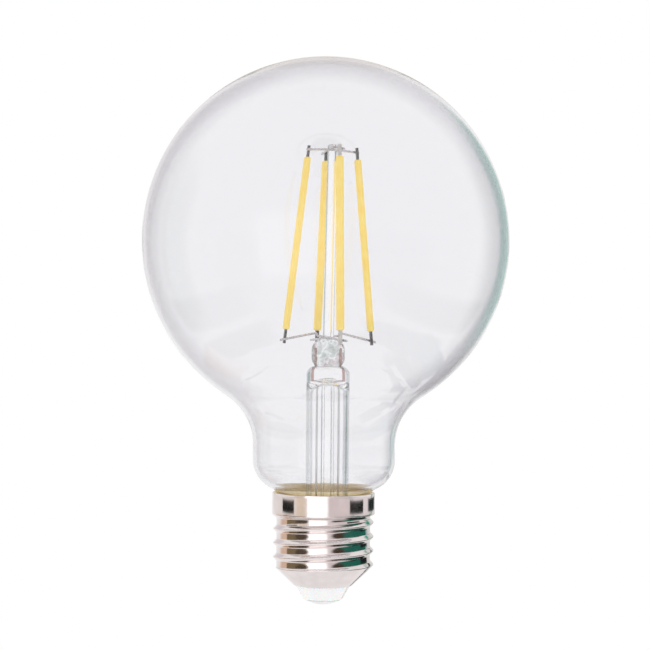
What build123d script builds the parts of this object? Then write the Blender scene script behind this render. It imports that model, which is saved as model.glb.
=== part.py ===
"""Clear globe lamp with four LED filaments on a 27 mm screw cap.

Millimetres, +Z up. The origin is the tip of the centre contact, on the lamp's axis.
"""
import os
from math import atan2, cos, degrees, radians, sin, sqrt, tan

from build123d import *

# Screw cap, from the standard for E27 lamp caps
thread_diameter = 26.05
thread_depth = 0.9
thread_pitch = 3.629
thread_crest_flat = 0.45
thread_root_flat = 1.6
thread_turns = 4
thread_start_angle = 183.0
sheet = 0.3
collar_diameter = 26.6
collar_height = 5.8
cone_height = 3.6
cone_angle = 46.5
mouth_diameter = 15.2

# Insulator and centre contact at the cap's foot
insulator_drop = 3.6
insulator_tip_diameter = 10.2
insulator_floor = 3.4
insulator_wall = 1.5
insulator_rise = 3.2
contact_height = 1.3
contact_diameter = 9.6
contact_land_diameter = 4.0
contact_bulge = 0.25
contact_base = 0.7
rivet_diameter = 3.0
rivet_length = 2.4
rivet_bore = 1.9

# Glass bulb
globe_diameter = 95.0
globe_rise = 65.0
glass_wall = 0.9
neck_diameter = 36.8
neck_blend_radius = 15.0
shoulder_slope = 30.0
shoulder_radius = 8.0
tail_bend_radius = 3.0
tail_depth = 7.0
tail_clearance = 0.2
shoulder_seat = 1.85
cement_setback = 0.25

# Stem, press and exhaust tube, sealed a little to the right of the bulb's axis
stem_shift = 0.9
stem_length = 46.8
stem_diameter = 11.2
stem_wall = 0.9
closed_end = 3.0
closed_end_round = 2.4
press_width = 8.6
press_thickness = 5.0
press_height = 8.0
press_sink = 0.9
press_corner = 3.0
press_round = 1.8
pump_hole_diameter = 1.4
pump_hole_rise = 1.6
exhaust_diameter = 3.4
exhaust_bore = 1.8
exhaust_tip = 1.8
exhaust_clearance = 1.6

# Lead wires and arms
wire_diameter = 0.6
lead_spacing = 5.7
lead_spread = 6.6
lead_splay = 4.0
lead_bend = 3.0
lead_tail = 0.8
seal_depth = 2.5
seal_tail = 1.0
arm_rise = 1.5
arm_overhang = 1.5
arm_bend = 0.9
cross_rise = 0.75

# Rod and filaments, which lean a little to the right as one
mount_lean = 0.9
mount_turn = 15.0
rod_diameter = 2.8
rod_length = 50.4
rod_seat = 2.0
rod_round = 0.7
top_wire_drop = 0.8
top_wire_run = 1.0
top_wire_bend = 0.5
lower_weld_radius = 11.66
lower_weld_drop = 0.4
upper_weld_radius = 6.54
upper_weld_drop = 1.7
lower_tab = 2.5
upper_tab = 1.95
tab_overhang = 1.1
strip_width = 0.9
strip_thickness = 0.6
coat_width = 2.0
coat_thickness = 1.7
coat_corner = 0.7
chip_length = 0.9
chip_width = 0.5
chip_height = 0.2
chip_pitch = 1.6
chip_margin = 1.0

# Driver in the cap
board_diameter = 19.0
board_thickness = 1.0
capacitor_diameter = 6.3
capacitor_height = 5.0
capacitor_offset = 3.8
capacitor_round = 0.4
fuse_diameter = 2.4
fuse_length = 4.6
fuse_offset = 4.5
fuse_round = 0.4
rectifier_length = 4.7
rectifier_width = 3.9
controller_length = 4.9
controller_width = 3.9
package_height = 1.6
package_offset = 5.4
package_chamfer = 0.3
live_clearance = 1.2
live_bend = 0.5
component_clearance = 0.4
neutral_offset = 7.0
neutral_drop = 1.2
neutral_stand = 0.3
neutral_bend = 0.5
solder_diameter = 1.5
solder_reach = 0.8

# Clearances
fused_fit = 0.01
weld_gap = 0.12
seat_gap = 0.05

# Heights, worked out from the tip upward
mouth_level = contact_height + insulator_drop
thread_foot = mouth_level + cone_height
thread_top = thread_foot + thread_turns * thread_pitch
collar_top = thread_top + collar_height
tail_foot = collar_top - tail_depth
press_top = tail_foot + stem_length
press_foot = press_top - press_height
tube_top = press_foot + press_sink
tube_ceiling = tube_top - closed_end
globe_centre = collar_top + globe_rise
dish_top = mouth_level + insulator_rise
dish_floor = contact_height + insulator_floor
live_level = dish_floor + live_clearance + wire_diameter / 2
board_foot = live_level + wire_diameter / 2 + component_clearance + max(capacitor_height, fuse_length)
board_top = board_foot + board_thickness

# Radii
crest_radius = thread_diameter / 2
root_radius = crest_radius - thread_depth
collar_radius = collar_diameter / 2
collar_bore = collar_radius - sheet
wire_radius = wire_diameter / 2
rod_radius = rod_diameter / 2
globe_radius = globe_diameter / 2
neck_radius = neck_diameter / 2
tail_radius = root_radius - sheet - tail_clearance
stem_radius = stem_diameter / 2

# Cap shell: a drawn cup whose wall is rolled into the thread, inside and out
cone_slope = tan(radians(cone_angle))
mouth_radius = mouth_diameter / 2
mouth_bore = mouth_radius - sheet / cos(radians(cone_angle))


def cone_bore(level):
    """Radius of the shell's inner cone at a height."""
    return mouth_bore + (level - mouth_level) * cone_slope


def cup(mouth, wall):
    """Solid of the cup's outline, from its mouth up the cone and the straight wall."""
    with BuildPart() as blank:
        with BuildSketch(Plane.XZ):
            with BuildLine():
                Polyline(
                    (0, mouth_level),
                    (mouth, mouth_level),
                    (wall, mouth_level + (wall - mouth) / cone_slope),
                    (wall, collar_top),
                    (0, collar_top),
                    close=True,
                )
            make_face()
        revolve(axis=Axis.Z)
    return blank.part


def rolled_space(inset, top):
    """Space round the rolled wall, set inward by inset, from under the cone up to a height."""
    outside = collar_radius + thread_depth
    flank_angle = atan2(thread_depth, (thread_pitch - thread_crest_flat - thread_root_flat) / 2)
    trim = inset * tan(flank_angle / 2)
    wave = []
    for turn in range(-1, thread_turns + 3):
        crest = mouth_level + turn * thread_pitch
        root = crest + thread_pitch / 2
        wave.append((crest_radius - inset, crest - thread_crest_flat / 2 + trim))
        wave.append((crest_radius - inset, crest + thread_crest_flat / 2 - trim))
        wave.append((root_radius - inset, root - thread_root_flat / 2 - trim))
        wave.append((root_radius - inset, root + thread_root_flat / 2 + trim))
    with BuildSketch(Plane.XZ) as space:
        with BuildLine():
            Polyline((outside, wave[0][1]), *wave, (outside, wave[-1][1]), close=True)
        make_face()
    half_turn = Helix(thread_pitch, thread_pitch / 2, root_radius, mode=Mode.PRIVATE)
    with BuildPart() as first_half:
        sweep(space.sketch, path=half_turn, is_frenet=True)
    with BuildPart() as whole:
        add(first_half.part)
        add(first_half.part.rotate(Axis.Z, 180).moved(Location((0, 0, thread_pitch / 2))))
        split(bisect_by=Plane.XY.offset(top), keep=Keep.BOTTOM)
    return whole.part.rotate(Axis.Z, thread_start_angle)


with BuildPart() as cap_cavity:
    add(cup(mouth_bore, collar_bore))
    add(rolled_space(sheet, thread_top + sheet), mode=Mode.SUBTRACT)

with BuildPart() as cap_shell:
    add(cup(mouth_radius, collar_radius))
    add(rolled_space(0, thread_top), mode=Mode.SUBTRACT)
    add(cap_cavity.part, mode=Mode.SUBTRACT)
cap_shell.part.label = "cap_shell"

# Centre contact: a domed disc with a blind rivet that takes the live wire
contact_radius = contact_diameter / 2
land_radius = contact_land_diameter / 2
rivet_top = contact_height + rivet_length
dome_middle = Vector((contact_radius + land_radius) / 2, contact_height / 2)
dome_out = Vector(contact_height, land_radius - contact_radius).normalized()
with BuildPart() as centre_contact:
    with BuildSketch(Plane.XZ):
        with BuildLine():
            Line((0, 0), (land_radius, 0))
            ThreePointArc(
                (land_radius, 0),
                dome_middle + dome_out * contact_bulge,
                (contact_radius, contact_height),
            )
            Polyline(
                (contact_radius, contact_height),
                (rivet_diameter / 2, contact_height),
                (rivet_diameter / 2, rivet_top),
                (rivet_bore / 2, rivet_top),
                (rivet_bore / 2, contact_base),
                (0, contact_base),
                (0, 0),
            )
        make_face()
    revolve(axis=Axis.Z)
centre_contact.part.label = "centre_contact"

# Insulator: a dish that fills the shell's cone and shows below its mouth
with BuildPart() as cap_insulator:
    with BuildSketch(Plane.XZ):
        with BuildLine():
            Polyline(
                (rivet_diameter / 2 + seat_gap, contact_height),
                (insulator_tip_diameter / 2, contact_height),
                (mouth_bore - seat_gap, mouth_level),
                (cone_bore(dish_top) - seat_gap, dish_top),
                (cone_bore(dish_top) - insulator_wall, dish_top),
                (cone_bore(dish_floor) - insulator_wall, dish_floor),
                (rivet_diameter / 2 + seat_gap, dish_floor),
                close=True,
            )
        make_face()
    revolve(axis=Axis.Z)
cap_insulator.part.label = "cap_insulator"

# Glass bulb: one outline of tangent arcs, drawn twice a wall apart
slope = radians(shoulder_slope)
tail_arc_level = collar_top - shoulder_seat
tail_arc_centre = tail_radius + tail_bend_radius
shoulder_arc_centre = neck_radius - shoulder_radius
shoulder_level = tail_arc_level + (
    shoulder_radius + tail_bend_radius - sin(slope) * (tail_arc_centre - shoulder_arc_centre)
) / cos(slope)
blend_centre = neck_radius + neck_blend_radius
blend_level = globe_centre - sqrt((globe_radius + neck_blend_radius) ** 2 - blend_centre**2)


def glass_outline(inset):
    """Points of the bulb's outline, set inward by inset, from the crown to the foot of the tail."""
    toward_blend = Vector(blend_centre, blend_level - globe_centre).normalized()
    below_shoulder = Vector(sin(slope), -cos(slope))
    return [
        Vector(0, globe_centre + globe_radius - inset),
        Vector(0, globe_centre) + toward_blend * (globe_radius - inset),
        Vector(neck_radius - inset, blend_level),
        Vector(neck_radius - inset, shoulder_level),
        Vector(shoulder_arc_centre, shoulder_level) + below_shoulder * (shoulder_radius - inset),
        Vector(tail_arc_centre, tail_arc_level) - below_shoulder * (tail_bend_radius + inset),
        Vector(tail_radius - inset, tail_arc_level),
        Vector(tail_radius - inset, tail_foot),
    ]


def draw_glass(points):
    """Draw the bulb's outline as arcs and lines that run into each other smoothly."""
    crown, ball, neck_top, neck_foot, shoulder, tail_start, tail_bend, tail_end = points
    ball_arc = TangentArc(crown, ball, tangent=(1, 0))
    TangentArc(ball, neck_top, tangent=ball_arc % 1)
    Line(neck_top, neck_foot)
    shoulder_arc = TangentArc(neck_foot, shoulder, tangent=(0, -1))
    Line(shoulder, tail_start)
    TangentArc(tail_start, tail_bend, tangent=shoulder_arc % 1)
    Line(tail_bend, tail_end)


outer_glass = glass_outline(0)
inner_glass = glass_outline(glass_wall)
with BuildPart() as glass_globe:
    with BuildSketch(Plane.XZ):
        with BuildLine():
            draw_glass(outer_glass)
            draw_glass(inner_glass)
            Line(outer_glass[0], inner_glass[0])
            Line(outer_glass[-1], inner_glass[-1])
        make_face()
    revolve(axis=Axis.Z)
glass_globe.part.label = "glass_globe"

# Basing cement: the ring between the glass tail and the collar
cement_foot = thread_top + sheet
cement_top = collar_top - cement_setback
cement_lip = tail_arc_centre - sqrt(tail_bend_radius**2 - (cement_top - tail_arc_level) ** 2)
with BuildPart() as cap_cement:
    with BuildSketch(Plane.XZ):
        with BuildLine():
            Line((tail_radius, tail_arc_level), (tail_radius, cement_foot))
            Polyline(
                (tail_radius, cement_foot),
                (collar_bore, cement_foot),
                (collar_bore, cement_top),
                (cement_lip, cement_top),
            )
            TangentArc((tail_radius, tail_arc_level), (cement_lip, cement_top), tangent=(0, 1))
        make_face()
    revolve(axis=Axis.Z)
cap_cement.part.label = "cap_cement"

# Rod and filaments stand in a frame of their own on the press
lean = radians(mount_lean)
mount = Plane(
    origin=(stem_shift, 0, press_top),
    x_dir=(cos(lean), 0, -sin(lean)),
    z_dir=(sin(lean), 0, cos(lean)),
)
lower_weld = -lower_weld_drop
upper_weld = rod_length - upper_weld_drop
azimuths = {"right": mount_turn, "back": mount_turn + 90, "left": mount_turn + 180, "front": mount_turn + 270}
beside_strip = strip_width / 2 + wire_radius + weld_gap
depth_wire_level = rod_length - top_wire_drop
side_wire_level = depth_wire_level - wire_diameter - fused_fit


def on_mount(azimuth, radius, level, aside=0.0):
    """Point on the leaning mount, aside along the turn at its azimuth."""
    angle = radians(azimuth)
    across = Vector(cos(angle), sin(angle)) * radius
    along = Vector(-sin(angle), cos(angle)) * aside
    return mount.from_local_coords(across + along + Vector(0, 0, level))


def wire(points, bend):
    """Round wire through the points, with rounded bends."""
    with BuildPart() as run:
        with BuildLine() as path:
            if len(points) > 2:
                FilletPolyline(*points, radius=bend)
            else:
                Line(*points)
        with BuildSketch(Plane(origin=path.line @ 0, z_dir=path.line % 0)):
            Circle(wire_radius)
        sweep()
    return run.part


# Flared stem: a trumpet and tube closed by a press, with room for the rod, leads and pump hole.
# Its rim takes up the stem's shift, wide on the left and narrow on the right.
stem_axis = Axis((stem_shift, 0, 0), (0, 0, 1))
stem_side = Plane(origin=(stem_shift, 0, 0), x_dir=(1, 0, 0), z_dir=(0, -1, 0))
stem_ceiling = Plane(origin=(stem_shift, 0, tube_ceiling))
flare_radius = tail_radius - glass_wall - stem_shift
flare_rise = flare_radius - stem_radius
stem_bore = stem_radius - stem_wall
lead_offset = lead_spacing / 2
pump_level = press_foot + pump_hole_rise
with BuildPart() as press:
    with BuildSketch(stem_side):
        with Locations((0, press_foot + press_height / 2)):
            RectangleRounded(press_width, press_height, press_corner)
    extrude(amount=press_thickness / 2, both=True)
    fillet(faces().filter_by(Axis.Y).edges(), press_round)

with BuildPart() as flared_stem:
    with BuildSketch(stem_side):
        with BuildLine():
            Line((0, tube_top), (stem_radius - closed_end_round, tube_top))
            TangentArc(
                (stem_radius - closed_end_round, tube_top),
                (stem_radius, tube_top - closed_end_round),
                tangent=(1, 0),
            )
            Line((stem_radius, tube_top - closed_end_round), (stem_radius, tail_foot + flare_rise))
            TangentArc((stem_radius, tail_foot + flare_rise), (flare_radius, tail_foot), tangent=(0, -1))
            Line((flare_radius, tail_foot), (flare_radius, tail_foot - stem_wall))
            TangentArc(
                (flare_radius, tail_foot - stem_wall),
                (stem_bore, tail_foot + flare_rise),
                tangent=(-1, 0),
            )
            Polyline(
                (stem_bore, tail_foot + flare_rise),
                (stem_bore, tube_ceiling),
                (0, tube_ceiling),
                (0, tube_top),
            )
        make_face()
    revolve(axis=stem_axis)
    with BuildSketch(Plane.XY.offset(tail_foot)):
        Circle(tail_radius)
        with Locations((stem_shift, 0)):
            Circle(flare_radius, mode=Mode.SUBTRACT)
    extrude(amount=-stem_wall)
    add(press.part)
    with BuildSketch(stem_ceiling):
        with GridLocations(lead_spacing, 1, 2, 1):
            Circle(wire_radius + fused_fit)
    extrude(amount=press_top - tube_ceiling, mode=Mode.SUBTRACT)
    with BuildSketch(mount.offset(-rod_seat)):
        Circle(rod_radius + fused_fit)
    extrude(amount=rod_seat + press_round, mode=Mode.SUBTRACT)
    with BuildSketch(stem_ceiling):
        Circle(exhaust_bore / 2)
    extrude(amount=pump_level - tube_ceiling, mode=Mode.SUBTRACT)
    with BuildSketch(stem_side):
        with Locations((0, pump_level)):
            Circle(pump_hole_diameter / 2)
    extrude(amount=press_thickness, mode=Mode.SUBTRACT)
flared_stem.part.label = "flared_stem"

# Exhaust tube, melted shut at its foot
exhaust_foot = board_top + exhaust_clearance
exhaust_radius = exhaust_diameter / 2
with BuildPart() as exhaust_tube:
    with BuildSketch(stem_side):
        with BuildLine():
            Line((0, exhaust_foot), (exhaust_bore / 2, exhaust_foot))
            TangentArc(
                (exhaust_radius, exhaust_foot + exhaust_tip),
                (exhaust_bore / 2, exhaust_foot),
                tangent=(0, -1),
            )
            Polyline(
                (exhaust_radius, exhaust_foot + exhaust_tip),
                (exhaust_radius, tube_ceiling),
                (exhaust_bore / 2, tube_ceiling),
                (exhaust_bore / 2, exhaust_foot + exhaust_tip),
                (0, exhaust_foot + exhaust_tip),
                (0, exhaust_foot),
            )
        make_face()
    revolve(axis=stem_axis)
exhaust_tube.part.label = "exhaust_tube"

# Top wires: each crosses the rod and reaches two filaments that face each other
crossing = atan2(beside_strip, upper_weld_radius)
wire_end = sqrt(upper_weld_radius**2 + beside_strip**2)


def top_wire_points(side, level):
    """Points of a top wire through the rod at a level, down to the welds on both sides."""
    azimuth = azimuths[side] + degrees(crossing)
    bend_radius = rod_radius + top_wire_run
    fall = (level - upper_weld) / (wire_end - bend_radius)
    reach = wire_end + arm_overhang / 2
    end_level = upper_weld - fall * arm_overhang / 2
    return [
        on_mount(azimuth, reach, end_level),
        on_mount(azimuth, bend_radius, level),
        on_mount(azimuth, -bend_radius, level),
        on_mount(azimuth, -reach, end_level),
    ]


top_wire_side = wire(top_wire_points("right", side_wire_level), top_wire_bend)
top_wire_side.label = "top_wire_side"
top_wire_depth = wire(top_wire_points("back", depth_wire_level), top_wire_bend)
top_wire_depth.label = "top_wire_depth"

# Centre rod, with the holes in which its glass grips the top wires
with BuildPart() as centre_rod:
    with BuildSketch(mount.offset(-rod_seat)):
        Circle(rod_radius)
    extrude(amount=rod_seat + rod_length)
    fillet(edges().group_by(Axis.Z)[-1], rod_round)
    for side, level in (("right", side_wire_level), ("back", depth_wire_level)):
        azimuth = azimuths[side] + degrees(crossing)
        start = on_mount(azimuth, -rod_diameter, level)
        end = on_mount(azimuth, rod_diameter, level)
        with BuildSketch(Plane(origin=start, z_dir=end - start)):
            Circle(wire_radius + fused_fit)
        extrude(amount=2 * rod_diameter, mode=Mode.SUBTRACT)
centre_rod.part.label = "centre_rod"

# Leads: the inner ones bend into the side arms, the seals cross the press, the outer ones reach the board
seal_top = press_top - seal_depth
seal_foot = tube_ceiling - seal_tail
lead_foot = board_foot - lead_tail
leads = {}
for side, sign in (("left", -1), ("right", 1)):
    at_press = stem_shift + sign * lead_offset
    weld = on_mount(azimuths[side], lower_weld_radius, lower_weld, beside_strip)
    bend = Vector(at_press, 0, press_top + arm_rise)
    leads["inner_lead_" + side] = wire(
        [Vector(at_press, 0, seal_top), bend, weld + (weld - bend).normalized() * arm_overhang], arm_bend
    )
    leads["seal_wire_" + side] = wire([Vector(at_press, 0, seal_foot), Vector(at_press, 0, seal_top)], 0)
    leads["outer_lead_" + side] = wire(
        [
            Vector(at_press, 0, seal_foot),
            Vector(at_press, 0, tail_foot + lead_splay / 2),
            Vector(sign * lead_spread / 2, 0, tail_foot - lead_splay / 2),
            Vector(sign * lead_spread / 2, 0, lead_foot),
        ],
        lead_bend,
    )

# Cross arms: welded to the inner leads, to the front and back filaments
for side, sign in (("front", -1), ("back", 1)):
    weld = on_mount(azimuths[side], lower_weld_radius, lower_weld, beside_strip)
    lead = Vector(stem_shift + sign * lead_offset, 0, press_top + cross_rise)
    toward = (weld - lead).normalized()
    leads["cross_arm_" + side] = wire(
        [lead + toward * (wire_radius + weld_gap), weld + toward * arm_overhang], 0
    )
for name, lead in leads.items():
    lead.label = name

# Filaments: a carrier strip, its row of chips and the coat over both
filaments = {}
for side, azimuth in azimuths.items():
    low = on_mount(azimuth, lower_weld_radius, lower_weld)
    high = on_mount(azimuth, upper_weld_radius, upper_weld)
    turn = on_mount(azimuth, lower_weld_radius, lower_weld, 1) - low
    stand = Plane(origin=low, x_dir=turn, z_dir=high - low)
    length = (high - low).length
    coat_length = length - lower_tab - upper_tab
    chip_count = int((coat_length - 2 * chip_margin - chip_length) / chip_pitch) + 1
    with BuildPart() as strip:
        with BuildSketch(stand.offset(-tab_overhang)):
            Rectangle(strip_width, strip_thickness)
        extrude(amount=length + 2 * tab_overhang)
    strip.part.label = "filament_strip_" + side
    middle = low + stand.z_dir * (lower_tab + coat_length / 2)
    face = Plane(origin=middle, x_dir=high - low, z_dir=-stand.y_dir)
    with BuildPart() as chips:
        with BuildSketch(face.offset(strip_thickness / 2)):
            with GridLocations(chip_pitch, 1, chip_count, 1):
                Rectangle(chip_length, chip_width)
        extrude(amount=chip_height)
    chips.part.label = "led_chips_" + side
    with BuildPart() as coat:
        with BuildSketch(stand.offset(lower_tab)):
            RectangleRounded(coat_width, coat_thickness, coat_corner)
        extrude(amount=coat_length)
        add(strip.part, mode=Mode.SUBTRACT)
        add(chips.part, mode=Mode.SUBTRACT)
    coat.part.label = "filament_coat_" + side
    filaments[side] = (strip.part, chips.part, coat.part)

# Driver board, held by the leads that are soldered through it
with BuildPart() as driver_board:
    with BuildSketch(Plane.XY.offset(board_foot)):
        Circle(board_diameter / 2)
        with GridLocations(lead_spread, 1, 2, 1):
            Circle(wire_radius + seat_gap, mode=Mode.SUBTRACT)
        with Locations((-neutral_offset, 0)):
            Circle(wire_radius + seat_gap, mode=Mode.SUBTRACT)
    extrude(amount=board_thickness)
driver_board.part.label = "driver_board"

packages = {}
for name, size, place in (
    ("bridge_rectifier", (rectifier_length, rectifier_width), package_offset),
    ("driver_chip", (controller_length, controller_width), -package_offset),
):
    with BuildPart() as package:
        with BuildSketch(Plane.XY.offset(board_top)):
            with Locations((0, place)):
                Rectangle(*size)
        extrude(amount=package_height)
        chamfer(edges().group_by(Axis.Z)[-1], package_chamfer)
    package.part.label = name
    packages[name] = package.part

with BuildPart() as smoothing_capacitor:
    with BuildSketch(Plane.XY.offset(board_foot)):
        with Locations((0, -capacitor_offset)):
            Circle(capacitor_diameter / 2)
    extrude(amount=-capacitor_height)
    fillet(edges().group_by(Axis.Z)[0], capacitor_round)
smoothing_capacitor.part.label = "smoothing_capacitor"

with BuildPart() as fuse_resistor:
    with BuildSketch(Plane.XY.offset(board_foot)):
        with Locations((0, fuse_offset)):
            Circle(fuse_diameter / 2)
    extrude(amount=-fuse_length)
    fillet(edges().group_by(Axis.Z)[0], fuse_round)
fuse_resistor.part.label = "fuse_resistor"

# Cap wiring: live from the fuse to the contact's rivet, neutral from the board to the shell
live_wire = wire(
    [
        Vector(0, fuse_offset, board_foot - fuse_length),
        Vector(0, fuse_offset, live_level),
        Vector(0, 0, live_level),
        Vector(0, 0, contact_base + wire_radius),
    ],
    live_bend,
)
live_wire.label = "live_wire"

neutral_level = board_foot - neutral_drop
neutral_end = root_radius - sheet - seat_gap
neutral_wire = wire(
    [
        Vector(-neutral_offset, 0, board_top + neutral_stand),
        Vector(-neutral_offset, 0, neutral_level),
        Vector(-neutral_end, 0, neutral_level),
    ],
    neutral_bend,
)
neutral_wire.label = "neutral_wire"

with BuildPart() as contact_solder:
    with BuildSketch(Plane.XY.offset(contact_base)):
        Circle(rivet_bore / 2)
    extrude(amount=rivet_top - contact_base)
    add(live_wire, mode=Mode.SUBTRACT)
contact_solder.part.label = "contact_solder"

with BuildPart() as shell_solder:
    with BuildSketch(Plane(origin=(solder_reach - neutral_end, 0, neutral_level), z_dir=(-1, 0, 0))):
        Circle(solder_diameter / 2)
    extrude(amount=solder_reach + sheet + thread_depth)
    add(cap_cavity.part, mode=Mode.INTERSECT)
    add(neutral_wire, mode=Mode.SUBTRACT)
shell_solder.part.label = "shell_solder"

builders = [
    glass_globe,
    flared_stem,
    exhaust_tube,
    centre_rod,
    cap_shell,
    cap_cement,
    cap_insulator,
    centre_contact,
    contact_solder,
    shell_solder,
    driver_board,
    smoothing_capacitor,
    fuse_resistor,
]
pieces = [builder.part for builder in builders]
pieces += [top_wire_side, top_wire_depth, live_wire, neutral_wire]
pieces += list(leads.values())
pieces += list(packages.values())
for strip_chips_coat in filaments.values():
    pieces += strip_chips_coat

os.makedirs("parts", exist_ok=True)
for piece in pieces:
    export_step(piece, f"parts/{piece.label}.step")
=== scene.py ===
"""Looks of a clear globe lamp with four LED filaments on a screw cap.

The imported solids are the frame. The glass, the wires, the filament coats and the cap are drawn again as
smooth surfaces, and the driver inside the cap keeps its solids under finishes of its own. Lengths are in
metres, +Z is up, and the origin is the tip of the centre contact.
"""

import logging
from collections.abc import Sequence
from dataclasses import dataclass, field
from enum import Enum
from math import atan2, cos, hypot, pi, radians, sin, sqrt, tan

import bpy
import numpy as np
from mathutils import Matrix, Vector


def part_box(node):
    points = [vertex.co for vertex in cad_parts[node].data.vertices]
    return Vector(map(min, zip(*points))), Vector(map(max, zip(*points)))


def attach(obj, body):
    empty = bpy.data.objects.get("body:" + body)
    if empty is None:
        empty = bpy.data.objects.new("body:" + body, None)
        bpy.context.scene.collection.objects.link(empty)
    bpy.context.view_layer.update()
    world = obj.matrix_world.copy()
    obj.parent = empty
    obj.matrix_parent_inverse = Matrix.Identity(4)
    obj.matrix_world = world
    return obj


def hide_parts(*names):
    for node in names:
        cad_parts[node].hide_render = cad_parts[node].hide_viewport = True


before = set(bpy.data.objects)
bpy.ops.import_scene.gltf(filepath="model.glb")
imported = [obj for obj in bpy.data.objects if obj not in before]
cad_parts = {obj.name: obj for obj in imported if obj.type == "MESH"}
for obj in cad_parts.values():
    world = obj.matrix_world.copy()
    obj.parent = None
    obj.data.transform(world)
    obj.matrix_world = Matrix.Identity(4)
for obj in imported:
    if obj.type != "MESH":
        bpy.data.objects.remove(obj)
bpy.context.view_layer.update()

Array = np.ndarray
Piece = bpy.types.Object
Socket = bpy.types.NodeSocket
Pair = tuple[float, float]
Triple = tuple[float, float, float]
Colour = Triple

MM = 0.001
BODY = "root"
WHITE: Colour = (1.0, 1.0, 1.0)
BLACK: Colour = (0.0, 0.0, 0.0)
EVEN: Triple = (1.0, 1.0, 1.0)
UP: Triple = (0.0, 0.0, 1.0)

# Share of an edge that one rounding may take, angle in degrees from which an edge is shaded as an edge,
# refractive index of the glass, power of a round section, and inputs of the node that moves a range
EDGE_SHARE = 0.45
SHARP_ANGLE = 40.0
GLASS_IOR = 1.5
CIRCLE = 2.0
RANGE_INPUTS = ("Value", "From Min", "From Max", "To Min", "To Max")

log = logging.getLogger("lamp")


class Side(Enum):
    """Quarter turn at which a filament stands round the rod."""

    RIGHT = 0
    BACK = 1
    LEFT = 2
    FRONT = 3

    @property
    def node(self) -> str:
        """Ending of the names of this side's solids."""
        return self.name.lower()


# Curves and surfaces


def full_turn(count: int) -> Array:
    """Angles of one turn in even steps, without the last, which is the first again."""
    return np.linspace(0, 2 * pi, count, endpoint=False)


def smooth_step(share: Array) -> Array:
    """Share held between 0 and 1, then three times its square less twice its cube."""
    held = np.clip(share, 0, 1)
    return held * held * (3 - 2 * held)


def larger(first: Array, second: Array, edge: float) -> Array:
    """Larger of two values, rounded where they cross: the logarithm of the sum of their exponentials.

    Args:
        first: First values.
        second: Second values.
        edge: Size of the rounding.

    Returns:
        The larger values.
    """
    return edge * np.logaddexp(first / edge, second / edge)


def block_reach(angle: Array, wide: Array | float, deep: Array | float, power: Array | float) -> Array:
    """Distance from the middle of a rounded block to its rim.

    On the rim the powers of the shares of half width and half depth add up to one: an oval where the power
    is 2, and squarer where it is higher.

    Args:
        angle: Directions in radians.
        wide: Half width.
        deep: Half depth.
        power: The power.

    Returns:
        Distance in each direction.
    """
    return (np.abs(np.cos(angle) / wide) ** power + np.abs(np.sin(angle) / deep) ** power) ** (-1 / power)


def arc(centre: Pair, radius: float, start: float, end: float, count: int) -> Array:
    """Points of a round stretch of an outline: centre plus radius times the cosine and sine of an angle.

    Args:
        centre: Distance from the axis and height of the arc's centre.
        radius: Radius of the arc.
        start: First angle in degrees, from the outward direction towards up.
        end: Last angle in degrees.
        count: Number of points.

    Returns:
        Array of count points, each a distance from the axis and a height.
    """
    angle = np.radians(np.linspace(start, end, count))
    return np.array(centre) + radius * np.stack([np.cos(angle), np.sin(angle)], axis=1)


def line(start: Pair, end: Pair, count: int) -> Array:
    """Points between two ends of a straight stretch, without the ends themselves.

    Args:
        start: Distance from the axis and height of the first end.
        end: Distance from the axis and height of the last end.
        count: Number of points.

    Returns:
        Array of count points, evenly spaced between the ends.
    """
    share = np.linspace(0, 1, count + 2)[1:-1, None]
    return np.array(start) * (1 - share) + np.array(end) * share


def rounded(corners: Array, radius: float, steps: int, closed: bool) -> Array:
    """Outline whose corners are rounded.

    At each corner the rounding leaves the first edge and joins the second at equal distances, along the
    curve that weighs start, corner and end by the squares and the product of the share already run.

    Args:
        corners: Points of the outline in any number of dimensions.
        radius: Distance from a corner at which its rounding starts, under half of an edge.
        steps: Number of points along each rounding.
        closed: Whether the last corner runs on to the first.

    Returns:
        Array of points along the outline.
    """
    ends = []
    for neighbour in (np.roll(corners, 1, axis=0), np.roll(corners, -1, axis=0)):
        edge = neighbour - corners
        length = np.linalg.norm(edge, axis=1, keepdims=True)
        ends.append((corners + edge / length * np.minimum(radius, EDGE_SHARE * length))[:, None])
    share = np.linspace(0, 1, steps)[None, :, None]
    curve = (1 - share) ** 2 * ends[0] + 2 * share * (1 - share) * corners[:, None] + share**2 * ends[1]
    if closed:
        return curve.reshape(-1, corners.shape[1])
    return np.concatenate([corners[:1], curve[1:-1].reshape(-1, corners.shape[1]), corners[-1:]])


def evenly(path: Array, spacing: float) -> Array:
    """The same path with its points at even distances along it.

    Args:
        path: Points of the path.
        spacing: Distance wanted between points.

    Returns:
        The new points.
    """
    run = np.concatenate([[0], np.cumsum(np.linalg.norm(np.diff(path, axis=0), axis=1))])
    even = np.linspace(0, run[-1], max(3, int(run[-1] / spacing)))
    return np.stack([np.interp(even, run, path[:, axis]) for axis in range(3)], axis=1)


def round_axis(radius: Array, level: Array, columns: int) -> Array:
    """Rows of points round the upright axis: distance times cosine and sine of the angle, and height.

    Args:
        radius: Distance from the axis, of each row or of each point in it.
        level: Height of each row.
        columns: Number of steps round the axis.

    Returns:
        Points by row and step.
    """
    angle = full_turn(columns)
    return np.stack(np.broadcast_arrays(radius * np.cos(angle), radius * np.sin(angle), level), axis=2)


def new_piece(name: str, points: Array, faces: list[list[int]]) -> Piece:
    """Put points and faces into a mesh.

    Args:
        name: Name of the new object.
        points: Points of the mesh.
        faces: Corner numbers of each face.

    Returns:
        The new object, at the origin.
    """
    mesh = bpy.data.meshes.new(name)
    mesh.from_pydata(points.tolist(), [], faces)
    made = bpy.data.objects.new(name, mesh)
    bpy.context.scene.collection.objects.link(made)
    return made


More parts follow.
